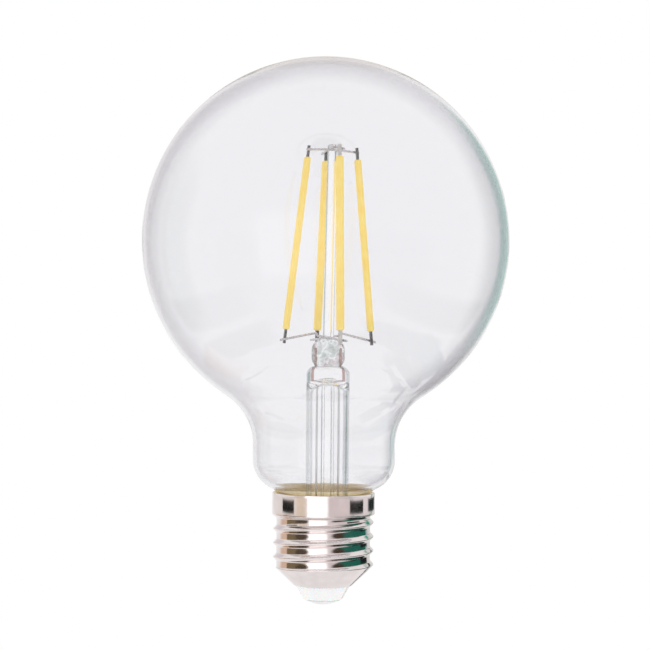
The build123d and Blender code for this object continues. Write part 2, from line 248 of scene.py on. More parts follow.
@dataclass(frozen=True)
class Skin:
    """Closed surface of rows of points, each row running once round the piece.

    Where poles are given, one point shuts each end; otherwise the last row runs on to the first.
    """

    points: Array
    poles: Array | None = None

    @classmethod
    def turned(cls, outline: Array, columns: int, shut: bool) -> "Skin":
        """Surface of an outline turned round the upright axis.

        Args:
            outline: Distances from the axis and heights.
            columns: Number of steps round the axis.
            shut: Whether the first and last points lie on the axis and become poles.

        Returns:
            The closed surface.
        """
        rows = outline[1:-1] if shut else outline
        poles = np.array([[0, 0, outline[0, 1]], [0, 0, outline[-1, 1]]]) if shut else None
        return cls(round_axis(rows[:, :1], rows[:, 1:], columns), poles)

    @classmethod
    def swept(cls, path: Array, section: Array, upright: Array) -> "Skin":
        """Surface of a section carried along a path, square to it, with flat ends.

        Args:
            path: Points of the path.
            section: For each point of the path, the section's points as sideways and upward offsets.
            upright: Direction that is never along the path, from which sideways is worked out.

        Returns:
            The closed surface, with a pole in the middle of each end.
        """
        ahead = np.gradient(path, axis=0)
        ahead /= np.linalg.norm(ahead, axis=1, keepdims=True)
        sideways = np.cross(ahead, upright)
        sideways /= np.linalg.norm(sideways, axis=1, keepdims=True)
        upward = np.cross(sideways, ahead)
        points = path[:, None] + section[..., :1] * sideways[:, None] + section[..., 1:] * upward[:, None]
        return cls(points, path[[0, -1]])

    def faces(self) -> tuple[Array, Array]:
        """Number the faces between the rows, and those round the poles.

        Returns:
            Corner numbers of the four-sided faces, and of the triangles.
        """
        rows, columns = self.points.shape[:2]
        here = np.arange(rows * columns).reshape(rows, columns)
        beside = np.roll(here, -1, axis=1)
        below, below_beside = np.roll(here, -1, axis=0), np.roll(beside, -1, axis=0)
        quads = np.stack([here, below, below_beside, beside], axis=2)
        if self.poles is None:
            return quads.reshape(-1, 4), np.empty((0, 3), int)
        first = np.full(columns, rows * columns)
        top = np.stack([first, here[0], beside[0]], axis=1)
        bottom = np.stack([here[-1], first + 1, beside[-1]], axis=1)
        return quads[:-1].reshape(-1, 4), np.concatenate([top, bottom])

    def piece(self, name: str, sharp_angle: float = SHARP_ANGLE) -> Piece:
        """Put the surface into a mesh with its faces outward.

        Args:
            name: Name of the new object.
            sharp_angle: Angle in degrees from which an edge is shaded as an edge.

        Returns:
            The new object, at the origin.
        """
        points = self.points.reshape(-1, 3)
        if self.poles is not None:
            points = np.concatenate([points, self.poles])
        quads, triangles = self.faces()
        split = np.concatenate([quads[:, [0, 1, 2]], quads[:, [0, 2, 3]], triangles])
        first, second, third = (points[split[:, corner]] for corner in range(3))
        if np.einsum("ij,ij->", first, np.cross(second, third)) < 0:
            quads, triangles = quads[:, ::-1], triangles[:, ::-1]
        made = new_piece(name, points, quads.tolist() + triangles.tolist())
        made.data.shade_smooth()
        made.data.set_sharp_from_angle(angle=radians(sharp_angle))
        return made


# Finishes


class Shader:
    """Nodes of one material, round a Principled shader."""

    def __init__(self, name: str) -> None:
        """Start a material whose nodes are the shader and its output alone.

        Args:
            name: Name of the material.
        """
        self.material = bpy.data.materials.new(name)
        self.material.use_nodes = True
        self.tree = self.material.node_tree
        self.surface = self.tree.nodes["Principled BSDF"]

    def feed(self, node: bpy.types.Node, inputs: dict[str | int, object]) -> None:
        """Set the inputs of a node to values, or link them to sockets.

        Args:
            node: The node.
            inputs: Values or sockets by the names or numbers of the inputs.
        """
        for name, value in inputs.items():
            if isinstance(value, Socket):
                self.tree.links.new(value, node.inputs[name])
            else:
                node.inputs[name].default_value = value

    def put(self, **inputs: object) -> None:
        """Feed inputs of the shader, with underscores in their names as spaces."""
        self.feed(self.surface, {name.replace("_", " "): value for name, value in inputs.items()})

    def node(self, kind: str, inputs: dict[str | int, object], **settings: object) -> bpy.types.Node:
        """Add a node, set its properties and feed its inputs.

        Args:
            kind: Type of the node.
            inputs: Values or sockets by the names or numbers of the inputs.
            settings: Values of the node's properties.

        Returns:
            The new node.
        """
        added = self.tree.nodes.new(kind)
        for name, value in settings.items():
            setattr(added, name, value)
        self.feed(added, inputs)
        return added

    def place(self, stretch: Triple = EVEN) -> Socket:
        """Point on the piece in its own frame, stretched along each axis."""
        own = self.node("ShaderNodeTexCoord", {}).outputs["Object"]
        return self.node("ShaderNodeMapping", {"Vector": own, "Scale": stretch}).outputs["Vector"]

    def along(self, direction: Triple = UP) -> Socket:
        """How far a point on the piece lies along a direction."""
        inputs = {0: self.place(), 1: direction}
        return self.node("ShaderNodeVectorMath", inputs, operation="DOT_PRODUCT").outputs["Value"]

    def noise(self, size: float, detail: float, stretch: Triple = EVEN) -> Socket:
        """Cloudy pattern of values round a half, with clouds of about a size in metres."""
        inputs = {"Vector": self.place(stretch), "Scale": 1 / size, "Detail": detail}
        return self.node("ShaderNodeTexNoise", inputs).outputs["Fac"]

    def ramp(self, source: Socket, stops: Sequence[tuple[float, Colour]]) -> Socket:
        """Colours run through as a value goes from 0 to 1.

        Args:
            source: Socket of the value.
            stops: Places between 0 and 1 and the colours there, in order.

        Returns:
            Socket of the colour.
        """
        ramp = self.node("ShaderNodeValToRGB", {"Fac": source})
        points = ramp.color_ramp.elements
        while len(points) < len(stops):
            points.new(0.5)
        for point, (position, colour) in zip(points, stops):
            point.position = position
            point.color = (*colour, 1.0)
        return ramp.outputs["Color"]

    def multiply(self, first: Socket, second: Socket, share: Socket | float = 1.0) -> Socket:
        """Product of two colours, or only a share of the way from the first to the product."""
        inputs = {"Fac": share, "Color1": first, "Color2": second}
        return self.node("ShaderNodeMixRGB", inputs, blend_type="MULTIPLY").outputs["Color"]

    def spread(self, source: Socket, low: float, high: float, given: Pair = (0.0, 1.0)) -> Socket:
        """Value moved from the range given into the range low to high."""
        inputs = dict(zip(RANGE_INPUTS, (source, *given, low, high)))
        return self.node("ShaderNodeMapRange", inputs).outputs["Result"]

    def bump(self, height: Socket, distance: float) -> Socket:
        """Tilt of a surface on which a pattern of heights up to a distance lies."""
        return self.node("ShaderNodeBump", {"Height": height, "Distance": distance}).outputs["Normal"]


@dataclass(frozen=True)
class Stain:
    """Band of the cement's colour painted onto glass up to a height, higher at the front by a lean: a
    painted stand-in for the cement seen through the glass.
    """

    colour: Colour
    level: Pair
    lean: float

    def tint(self, shader: Shader) -> Socket:
        """Colour at each point: the painted band's up to the first level, and clear from the second."""
        past_painted_band = shader.spread(shader.along((0.0, self.lean, 1.0)), 0.0, 1.0, self.level)
        return shader.ramp(past_painted_band, [(0.0, self.colour), (1.0, WHITE)])


@dataclass(frozen=True)
class Lumps:
    """Lumps and clouds of tint in glass that was pinched, above a height."""

    size: float
    height: float
    level: Pair
    tints: tuple[tuple[float, Colour], ...]
    detail: float = 1.0

    def pattern(self, shader: Shader) -> Socket:
        """Cloudy pattern of the lumps."""
        return shader.noise(self.size, self.detail)

    def share(self, shader: Shader) -> Socket:
        """How far the glass is pinched: not at all up to the first level, and fully from the second."""
        return shader.spread(shader.along(), 0.0, 1.0, self.level)


@dataclass(frozen=True)
class GlassFinish:
    """Clear glass, with painted shade that darkens it where it is seen at a slant, and the faint waves of
    blown glass.
    """

    name: str
    slot: str
    face_tint: Colour
    # Painted shade: the slant and edge colours darken the glass towards its rims, by the angle at which it
    # is seen.
    slant_painted_shade: Colour
    edge_painted_shade: Colour
    slant: Pair
    wave_size: float
    wave_height: float
    wave_stretch: Triple = EVEN
    wave_detail: float = 2.0
    roughness: float = 0.0
    # Painted glow: light given off by glass that is no lamp.
    painted_glow: float = 0.0
    stain: Stain | None = None
    lumps: Lumps | None = None

    def relief(self, shader: Shader) -> Socket:
        """Heights of the waves along the glass, and of the lumps where it was pinched.

        Args:
            shader: Shader of the glass.

        Returns:
            Socket of the heights in metres.
        """
        pattern = shader.noise(self.wave_size, self.wave_detail, self.wave_stretch)
        waves = shader.spread(pattern, 0.0, self.wave_height)
        if self.lumps is None:
            return waves
        heights = shader.spread(self.lumps.pattern(shader), 0.0, self.lumps.height)
        inputs = {0: heights, 1: self.lumps.share(shader), 2: waves}
        return shader.node("ShaderNodeMath", inputs, operation="MULTIPLY_ADD").outputs["Value"]

    def material(self) -> bpy.types.Material:
        """Build the glass from Principled nodes, with its painted band and the clouds of its lumps.

        Returns:
            The new material.
        """
        shader = Shader(self.name)
        tilt = shader.bump(self.relief(shader), 1.0)
        weight = shader.node("ShaderNodeLayerWeight", {"Normal": tilt})
        # Painted shade: the colour runs from the face colour to the darker slant and edge colours at the
        # rims.
        tints = (self.face_tint, self.face_tint, self.slant_painted_shade, self.edge_painted_shade)
        tint = shader.ramp(weight.outputs["Facing"], list(zip((0.0, *self.slant, 1.0), tints)))
        # Painted band: the cement's colour laid over the glass, standing in for the cement seen through it.
        if self.stain is not None:
            tint = shader.multiply(tint, self.stain.tint(shader))
        if self.lumps is not None:
            clouds = shader.ramp(self.lumps.pattern(shader), self.lumps.tints)
            tint = shader.multiply(tint, clouds, self.lumps.share(shader))
        shader.put(Base_Color=tint, Normal=tilt, Roughness=self.roughness)
        shader.put(IOR=GLASS_IOR, Transmission_Weight=1.0)
        # Painted light: the glass gives off its glow as light.
        shader.put(Emission_Color=(*WHITE, 1.0), Emission_Strength=self.painted_glow)
        return shader.material


@dataclass(frozen=True)
class MetalFinish:
    """Metal with cloudy tones, a gloss that varies and fine drawing marks."""

    name: str
    slot: str
    bright: Colour
    dull: Colour
    gloss: Pair
    cloud_size: float
    mark_height: float = 0.0
    mark_stretch: Triple = EVEN
    marks_per_cloud: float = 4.0
    detail: float = 3.0
    tone_range: Pair = (0.3, 0.7)

    def material(self) -> bpy.types.Material:
        """Build the metal from Principled nodes.

        Returns:
            The new material.
        """
        shader = Shader(self.name)
        clouds = shader.noise(self.cloud_size, self.detail)
        tones = shader.ramp(clouds, list(zip(self.tone_range, (self.dull, self.bright))))
        shader.put(Base_Color=tones, Roughness=shader.spread(clouds, *self.gloss), Metallic=1.0)
        if self.mark_height:
            mark_size = self.cloud_size / self.marks_per_cloud
            marks = shader.noise(mark_size, self.detail, self.mark_stretch)
            shader.put(Normal=shader.bump(marks, self.mark_height))
        return shader.material


@dataclass(frozen=True)
class MattFinish:
    """Plastic, lacquer, cement or phosphor: clouds of two colours, a gloss, a grain and, where set, a
    painted glow.
    """

    name: str
    slot: str
    light: Colour
    dark: Colour
    gloss: float
    cloud_size: float
    grain_size: float
    grain_height: float
    glow_through: float = 0.0
    glow_depth: float = 0.5 * MM
    # Painted glow: light given off by a finish that is no lamp.
    painted_glow: Colour = BLACK
    detail: float = 2.0
    tone_range: Pair = (0.35, 0.65)

    def material(self) -> bpy.types.Material:
        """Build the finish from Principled nodes.

        Returns:
            The new material.
        """
        shader = Shader(self.name)
        clouds = shader.noise(self.cloud_size, self.detail)
        tones = shader.ramp(clouds, list(zip(self.tone_range, (self.dark, self.light))))
        shader.put(Base_Color=tones, Roughness=self.gloss)
        shader.put(Subsurface_Weight=self.glow_through, Subsurface_Scale=self.glow_depth)
        # Painted light: the finish gives off its glow colour as light.
        shader.put(Emission_Color=(*self.painted_glow, 1.0), Emission_Strength=1.0 if any(self.painted_glow) else 0.0)
        grain = shader.noise(self.grain_size, self.detail)
        shader.put(Normal=shader.bump(grain, self.grain_height))
        return shader.material


Finish = GlassFinish | MetalFinish | MattFinish

# The bulb's slant and edge colours are painted shade at its rims.
BULB_GLASS = GlassFinish(
    name="blown_clear_glass", slot="clear_glass", face_tint=(0.925, 0.922, 0.938),
    slant_painted_shade=(0.59, 0.57, 0.60), edge_painted_shade=(0.51, 0.49, 0.52), slant=(0.5, 0.76),
    wave_size=14 * MM, wave_height=0.02 * MM,
    # Painted band: the cement's colour painted onto the glass near the cap, higher at the front.
    stain=Stain(colour=(0.71, 0.58, 0.33), level=(29.0 * MM, 29.7 * MM), lean=0.06),
)
# Stem glass: its slant and edge colours are painted shade at its rims, and its glow is painted light that
# makes the tube brighter and milky.
STEM_GLASS = GlassFinish(
    name="drawn_stem_glass", slot="stem_glass", face_tint=(0.985, 0.985, 0.985),
    slant_painted_shade=(0.43, 0.45, 0.46), edge_painted_shade=(0.40, 0.43, 0.44), slant=(0.44, 0.5),
    wave_size=2.5 * MM, wave_height=0.03 * MM, wave_stretch=(1.0, 1.0, 0.1), painted_glow=0.012,
    lumps=Lumps(
        size=1.7 * MM, height=0.4 * MM, level=(60.4 * MM, 61.8 * MM),
        tints=(
            (0.34, (0.55, 0.46, 0.47)), (0.43, (0.86, 0.84, 0.85)), (0.50, WHITE),
            (0.58, (0.66, 0.76, 0.71)), (0.68, (0.50, 0.52, 0.50)),
        ),
    ),
)
# Rod glass: its slant and edge colours are painted shade at its rims, and its glow is painted light that
# lifts the rod like a highlight.
ROD_GLASS = GlassFinish(
    name="rod_glass", slot="stem_glass", face_tint=WHITE,
    slant_painted_shade=(0.56, 0.59, 0.62), edge_painted_shade=(0.46, 0.50, 0.54), slant=(0.36, 0.6),
    wave_size=2 * MM, wave_height=0.02 * MM, wave_stretch=(1.0, 1.0, 0.2), roughness=0.22, painted_glow=0.05,
)
CAP_NICKEL = MetalFinish(
    name="bright_nickel_plate", slot="nickel_plate", bright=(0.78, 0.72, 0.71), dull=(0.70, 0.64, 0.63),
    gloss=(0.06, 0.13), cloud_size=3 * MM, mark_height=0.0005 * MM, mark_stretch=(1.0, 1.0, 8.0),
)
CONTACT_NICKEL = MetalFinish(
    name="contact_plate", slot="contact_metal", bright=(0.84, 0.84, 0.84), dull=(0.74, 0.74, 0.74),
    gloss=(0.15, 0.3), cloud_size=1.5 * MM,
)
LEAD_WIRE = MetalFinish(
    name="drawn_nickel_wire", slot="nickel_wire", bright=(0.78, 0.74, 0.75), dull=(0.52, 0.49, 0.50),
    gloss=(0.2, 0.35), cloud_size=0.8 * MM,
)
BOARD_LEAD = MetalFinish(
    name="tinned_lead", slot="nickel_wire", bright=(0.93, 0.95, 0.94), dull=(0.84, 0.86, 0.85),
    gloss=(0.4, 0.5), cloud_size=4 * MM,
)
SEAL_COPPER = MetalFinish(
    name="copper_clad_wire", slot="seal_wire", bright=(0.72, 0.50, 0.47), dull=(0.52, 0.32, 0.30),
    gloss=(0.25, 0.4), cloud_size=0.8 * MM,
)
# Two copies of one tinned strip: this darker one for three filaments, and a lighter copy, painted light,
# for the front one.
STRIP_TIN = MetalFinish(
    name="tinned_strip", slot="strip_metal", bright=(0.20, 0.19, 0.18), dull=(0.06, 0.06, 0.06),
    gloss=(0.25, 0.4), cloud_size=0.7 * MM,
)
# Lighter copy of the tinned strip: painted light on the front filament's strip.
STRIP_PAINTED_LIGHT = MetalFinish(
    name="tinned_strip_painted_light", slot="strip_metal", bright=(0.74, 0.72, 0.68), dull=(0.46, 0.45, 0.42),
    gloss=(0.25, 0.4), cloud_size=0.9 * MM,
)
SOFT_SOLDER = MetalFinish(
    name="soft_solder", slot="solder", bright=(0.74, 0.75, 0.76), dull=(0.55, 0.56, 0.57),
    gloss=(0.2, 0.4), cloud_size=0.6 * MM,
)
# The phosphor's glow is painted light that brightens the coats.
PHOSPHOR = MattFinish(
    name="yellow_phosphor", slot="phosphor_coat", light=(1.0, 0.76, 0.17), dark=(1.0, 0.69, 0.10),
    gloss=0.5, cloud_size=2.5 * MM, grain_size=0.25 * MM, grain_height=0.02 * MM,
    painted_glow=(0.31, 0.25, 0.09),
)
INSULATOR_WHITE = MattFinish(
    name="white_insulator", slot="white_insulator", light=(0.93, 0.94, 0.94), dark=(0.90, 0.91, 0.91),
    gloss=0.18, cloud_size=3 * MM, grain_size=0.6 * MM, grain_height=0.005 * MM, glow_through=0.2,
)
# The cement's glow is painted light that brightens the cement seen through the glass.
CEMENT_TAN = MattFinish(
    name="tan_cement", slot="cement", light=(0.88, 0.79, 0.56), dark=(0.74, 0.63, 0.40), gloss=0.55,
    cloud_size=2 * MM, grain_size=0.4 * MM, grain_height=0.05 * MM, painted_glow=(0.42, 0.36, 0.24),
)
BOARD_GREEN = MattFinish(
    name="green_board", slot="circuit_board", light=(0.05, 0.22, 0.09), dark=(0.03, 0.15, 0.06),
    gloss=0.35, cloud_size=2 * MM, grain_size=0.3 * MM, grain_height=0.01 * MM,
)
PACKAGE_BLACK = MattFinish(
    name="black_moulding", slot="black_moulding", light=(0.03, 0.03, 0.032), dark=(0.018, 0.018, 0.02),
    gloss=0.5, cloud_size=1 * MM, grain_size=0.15 * MM, grain_height=0.01 * MM,
)
CAPACITOR_BLUE = MattFinish(
    name="capacitor_sleeve", slot="capacitor_sleeve", light=(0.03, 0.045, 0.12),
    dark=(0.02, 0.03, 0.09), gloss=0.25, cloud_size=2 * MM, grain_size=0.5 * MM,
    grain_height=0.005 * MM,
)
FUSE_LACQUER = MattFinish(
    name="resistor_lacquer", slot="resistor_coating", light=(0.16, 0.30, 0.26), dark=(0.10, 0.22, 0.18),
    gloss=0.3, cloud_size=1 * MM, grain_size=0.3 * MM, grain_height=0.01 * MM,
)
CHIP_BLUE = MattFinish(
    name="sapphire_die", slot="led_chip", light=(0.10, 0.18, 0.36), dark=(0.06, 0.12, 0.26), gloss=0.2,
    cloud_size=0.5 * MM, grain_size=0.1 * MM, grain_height=0.002 * MM,
)


class Wardrobe:
    """Materials made so far, one for each finish."""

    def __init__(self) -> None:
        """Start with no materials."""
        self.made: dict[str, bpy.types.Material] = {}

    def dress(self, piece: Piece, finish: Finish) -> None:
        """Give a piece its finish.

        Args:
            piece: New piece or solid.
            finish: Its finish.
        """
        if finish.name not in self.made:
            self.made[finish.name] = finish.material()
        piece.data.materials.clear()
        piece.data.materials.append(self.made[finish.name])

    def fit(self, piece: Piece, finish: Finish, node: str) -> None:
        """Dress a new piece, let it ride on the lamp and stand for its solid.

        Args:
            piece: The new piece.
            finish: Its finish.
            node: Name of the solid.
        """
        self.dress(piece, finish)
        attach(piece, BODY)
        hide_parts(node)
        log.info("%s: %d faces for %s", piece.name, len(piece.data.polygons), node)

    def keep(self, finish: Finish, node: str) -> None:
        """Dress a solid that is shown as it is."""
        self.dress(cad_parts[node], finish)
        log.info("%s: solid kept", node)


# Sub-assemblies


@dataclass
class BlownBulb:
    """Clear bulb: a ball that runs into a neck, a shoulder and the tail inside the cap."""

    wall: float = 0.9 * MM
    neck_radius: float = 18.4 * MM
    blend_radius: float = 15 * MM
    shoulder_radius: float = 8 * MM
    shoulder_slope: float = 30.0
    tail_radius: float = 11.625 * MM
    tail_bend: float = 3 * MM
    shoulder_seat: float = 1.85 * MM
    ball_steps: int = 90
    blend_steps: int = 26
    shoulder_steps: int = 24
    slope_steps: int = 3
    tail_steps: int = 18
    straight_steps: int = 4
    columns: int = 180

    def outline(self, inset: float) -> Array:
        """Outline of tangent arcs and lines from the crown to the foot of the tail.

        Args:
            inset: Distance inward from the outer face.

        Returns:
            Distances from the axis and heights.
        """
        low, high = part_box("glass_globe")
        ball_radius = (high.x - low.x) / 2
        ball = high.z - ball_radius
        blend = self.neck_radius + self.blend_radius
        blend_level = ball - sqrt((ball_radius + self.blend_radius) ** 2 - blend**2)
        leaving = np.degrees(atan2(blend_level - ball, blend))
        slope = radians(self.shoulder_slope)
        facing = self.shoulder_slope - 90
        tail = (self.tail_radius + self.tail_bend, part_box("cap_shell")[1].z - self.shoulder_seat)
        shoulder = self.neck_radius - self.shoulder_radius
        arcs = self.shoulder_radius + self.tail_bend
        shoulder_level = tail[1] + (arcs - sin(slope) * (tail[0] - shoulder)) / cos(slope)
        neck, foot = self.neck_radius - inset, self.tail_radius - inset
        shoulder_arc = arc(
            (shoulder, shoulder_level), self.shoulder_radius - inset, 0, facing, self.shoulder_steps
        )
        tail_arc = arc(tail, self.tail_bend + inset, facing + 180, 180, self.tail_steps)
        blend_arc = arc(
            (blend, blend_level), self.blend_radius + inset, leaving + 180, 180, self.blend_steps
        )
        stretches = [
            arc((0.0, ball), ball_radius - inset, 90, leaving, self.ball_steps),
            blend_arc[1:],
            line((neck, blend_level), (neck, shoulder_level), self.straight_steps),
            shoulder_arc,
            line(tuple(shoulder_arc[-1]), tuple(tail_arc[0]), self.slope_steps),
            tail_arc,
            line((foot, tail[1]), (foot, low.z), self.straight_steps),
            np.array([[foot, low.z]]),
        ]
        return np.concatenate(stretches)

    def build(self, wardrobe: Wardrobe) -> None:
        """Draw both faces of the wall as one closed surface and dress it.

        Args:
            wardrobe: Materials made so far.
        """
        wall = np.concatenate([self.outline(0.0), self.outline(self.wall)[::-1]])
        skin = Skin.turned(wall, self.columns, shut=True)
        wardrobe.fit(skin.piece("bulb_glass"), BULB_GLASS, "glass_globe")


@dataclass
class LeaningMount:
    """Frame of the rod and filaments, which lean to the right as one on top of the press."""

    shift: float = 0.9 * MM
    lean: float = 0.9
    turn: float = 15.0
    rod_radius: float = 1.4 * MM
    rod_length: float = 50.4 * MM
    lower_radius: float = 11.66 * MM
    lower_level: float = -0.4 * MM
    upper_radius: float = 6.54 * MM
    upper_drop: float = 1.7 * MM

    @property
    def upper_level(self) -> float:
        """Height above the press of the filaments' upper ends."""
        return self.rod_length - self.upper_drop

    def place(self, local: Array) -> Array:
        """Points in the lamp's frame of points across, behind and along the leaning rod.

        Args:
            local: Points in the mount's frame, in its last dimension.

        Returns:
            Points in the lamp's frame.
        """
        lean = radians(self.lean)
        directions = np.array([[cos(lean), 0, -sin(lean)], [0, 1, 0], [sin(lean), 0, cos(lean)]])
        return local @ directions + np.array([self.shift, 0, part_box("flared_stem")[1].z])

    def at(self, side: Side, radius: float, level: float, aside: float = 0.0, swing: float = 0.0) -> Array:
        """Point beside the rod.

        Args:
            side: Filament towards which the point lies.
            radius: Distance from the rod's axis.
            level: Height above the press along the rod.
            aside: Distance square to the radius, anticlockwise from above.
            swing: Angle in radians by which the point is turned from the filament.

        Returns:
            Point in the lamp's frame.
        """
        angle = radians(self.turn + 90 * side.value) + swing
        across = radius * np.array([cos(angle), sin(angle), 0])
        across = across + aside * np.array([-sin(angle), cos(angle), 0])
        return self.place(across + np.array([0, 0, level]))

    def low_end(self, side: Side, aside: float = 0.0) -> Array:
        """Lower end of a filament, or the point aside of it."""
        return self.at(side, self.lower_radius, self.lower_level, aside)


@dataclass
class GlassStem:
    """Flared tube and press, the exhaust tube inside it and the rod on top."""

    mount: LeaningMount
    tube_radius: float = 5.6 * MM
    wall: float = 0.9 * MM
    flare_radius: float = 9.825 * MM
    rim_radius: float = 11.625 * MM
    closed_end: float = 3 * MM
    end_round: float = 2.4 * MM
    end_slope: float = 70.0
    dome: float = 4 * MM
    press_half: Pair = (4.3 * MM, 2.5 * MM)
    press_round: Pair = (3 * MM, 1.8 * MM)
    press_height: float = 8 * MM
    press_sink: float = 0.9 * MM
    press_squareness: float = 2.4
    exhaust_radius: float = 1.7 * MM
    exhaust_bore: float = 0.9 * MM
    exhaust_tip: float = 1.8 * MM
    exhaust_rounds: Pair = (0.8 * MM, 0.6 * MM)
    rod_round: float = 0.7 * MM
    fused_gap: float = 0.3 * MM
    steps: int = 20
    fine_steps: int = 40
    end_steps: int = 12
    dome_steps: int = 15
    rod_steps: int = 10
    round_steps: int = 8
    columns: int = 128
    thin_columns: int = 48

    def press_rows(self, top: float) -> Array:
        """Rows of the press from its top down to the waist above the tube.

        Each half size is that of the press less a radius, plus the height at which a circle of the radius
        stands at the same distance from the nearer end.

        Args:
            top: Height of the press's top.

        Returns:
            For each row its height, half width, half depth, squareness and place along X.
        """
        share = (1 - np.cos(np.linspace(0, pi, self.fine_steps)))[:, None] / 2
        run = (self.press_height - self.press_sink) * share
        end = np.minimum(run, self.press_height - run)
        halves = [
            half - bend + np.sqrt(bend**2 - (bend - np.minimum(end, bend)) ** 2)
            for half, bend in zip(self.press_half, self.press_round)
        ]
        rest = np.broadcast_to([self.press_squareness, self.mount.shift], (len(run), 2))
        return np.hstack([top - run, *halves, rest])

    def tube_rows(self, tube_top: float) -> Array:
        """Rows of the tube from its closed end down the outside, round the rim and up the bore to its dome.

        Args:
            tube_top: Height of the closed end.

        Returns:
            For each row its height, half width, half depth, squareness and place along X.
        """
        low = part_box("flared_stem")[0].z
        foot = low + self.wall
        rise = self.flare_radius - self.tube_radius
        bore = self.tube_radius - self.wall
        flare = (self.flare_radius, foot + rise)
        end = (self.tube_radius - self.end_round, tube_top - self.end_round)
        dome_foot = tube_top - self.closed_end - self.dome
        over = np.linspace(0, pi / 2, self.dome_steps, endpoint=False)
        outside = np.concatenate(
            [
                arc(end, self.end_round, self.end_slope, 0, self.end_steps),
                line((self.tube_radius, end[1]), (self.tube_radius, flare[1]), self.steps),
                arc(flare, rise, 180, 270, self.steps),
            ]
        )
        rim = np.array([[self.rim_radius, foot], [self.rim_radius, low]])
        inside = np.concatenate(
            [
                arc(flare, rise + self.wall, 270, 180, self.steps),
                line((bore, flare[1]), (bore, dome_foot), self.steps),
                np.stack([bore * np.cos(over), dome_foot + self.dome * np.sin(over)], axis=1),
            ]
        )
        outline = np.concatenate([outside, rim, inside])
        shift = np.full(len(outline), self.mount.shift)
        shift[len(outside) : len(outside) + len(rim)] = 0
        radius, level = outline.T
        return np.stack([level, radius, radius, np.full_like(radius, CIRCLE), shift], axis=1)

    def stem_skin(self) -> Skin:
        """Surface of the stem: rows of rounded blocks, flattened in the press and round in the tube.

        Returns:
            The closed surface, with poles on the press and under the tube's dome.
        """
        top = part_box("flared_stem")[1].z
        tube_top = top - self.press_height + self.press_sink
        rows = np.concatenate([self.press_rows(top), self.tube_rows(tube_top)])
        level, wide, deep, square, shift = (rows[:, [column]] for column in range(5))
        angle = full_turn(self.columns)
        reach = block_reach(angle, wide, deep, square)
        points = np.broadcast_arrays(shift + reach * np.cos(angle), reach * np.sin(angle), level)
        poles = [[self.mount.shift, 0, end] for end in (top, tube_top - self.closed_end)]
        return Skin(np.stack(points, axis=2), np.array(poles))

    def exhaust_skin(self) -> Skin:
        """Surface of the exhaust tube: an outline from its tip up the outside and down the bore, turned.

        Returns:
            The closed surface.
        """
        low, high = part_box("exhaust_tube")
        top = high.z - self.fused_gap
        shut = low.z + self.exhaust_tip
        outer, inner = self.exhaust_radius, self.exhaust_bore
        outside = np.array([[0, low.z], [inner, low.z], [outer, shut], [outer, top]])
        inside = np.array([[inner, top], [inner, shut], [0, shut]])
        outline = [
            rounded(stretch, bend, self.round_steps, closed=False)
            for stretch, bend in zip((outside, inside), self.exhaust_rounds)
        ]
        upright = Skin.turned(np.concatenate(outline), self.thin_columns, shut=True)
        beside = np.array([self.mount.shift, 0, 0])
        return Skin(upright.points + beside, upright.poles + beside)

    def rod_skin(self) -> Skin:
        """Surface of the leaning rod: a straight outline with a rounded top, turned round the rod's axis.

        Returns:
            The closed surface.
        """
        radius, length = self.mount.rod_radius, self.mount.rod_length
        top = arc((radius - self.rod_round, length - self.rod_round), self.rod_round, 0, 90, self.rod_steps)
        side = line((radius, 0.0), tuple(top[0]), self.fine_steps)
        outline = np.concatenate([[[0, 0], [radius, 0]], side, top, [[0, length]]])
        upright = Skin.turned(outline, self.thin_columns, shut=True)
        return Skin(self.mount.place(upright.points), self.mount.place(upright.poles))

    def build(self, wardrobe: Wardrobe) -> None:
        """Draw the three glass pieces and dress them.

        Args:
            wardrobe: Materials made so far.
        """
        wardrobe.fit(self.stem_skin().piece("stem_glass"), STEM_GLASS, "flared_stem")
        wardrobe.fit(self.exhaust_skin().piece("exhaust_glass"), STEM_GLASS, "exhaust_tube")
        wardrobe.fit(self.rod_skin().piece("rod_glass"), ROD_GLASS, "centre_rod")


@dataclass(frozen=True)
class Wire:
    """One wire: its name, the solid that it stands for, its finish, its corners, their bend, its welds."""

    name: str
    node: str
    finish: Finish
    route: list[Array]
    bend: float = 0.0
    welds: tuple[Array, ...] = ()


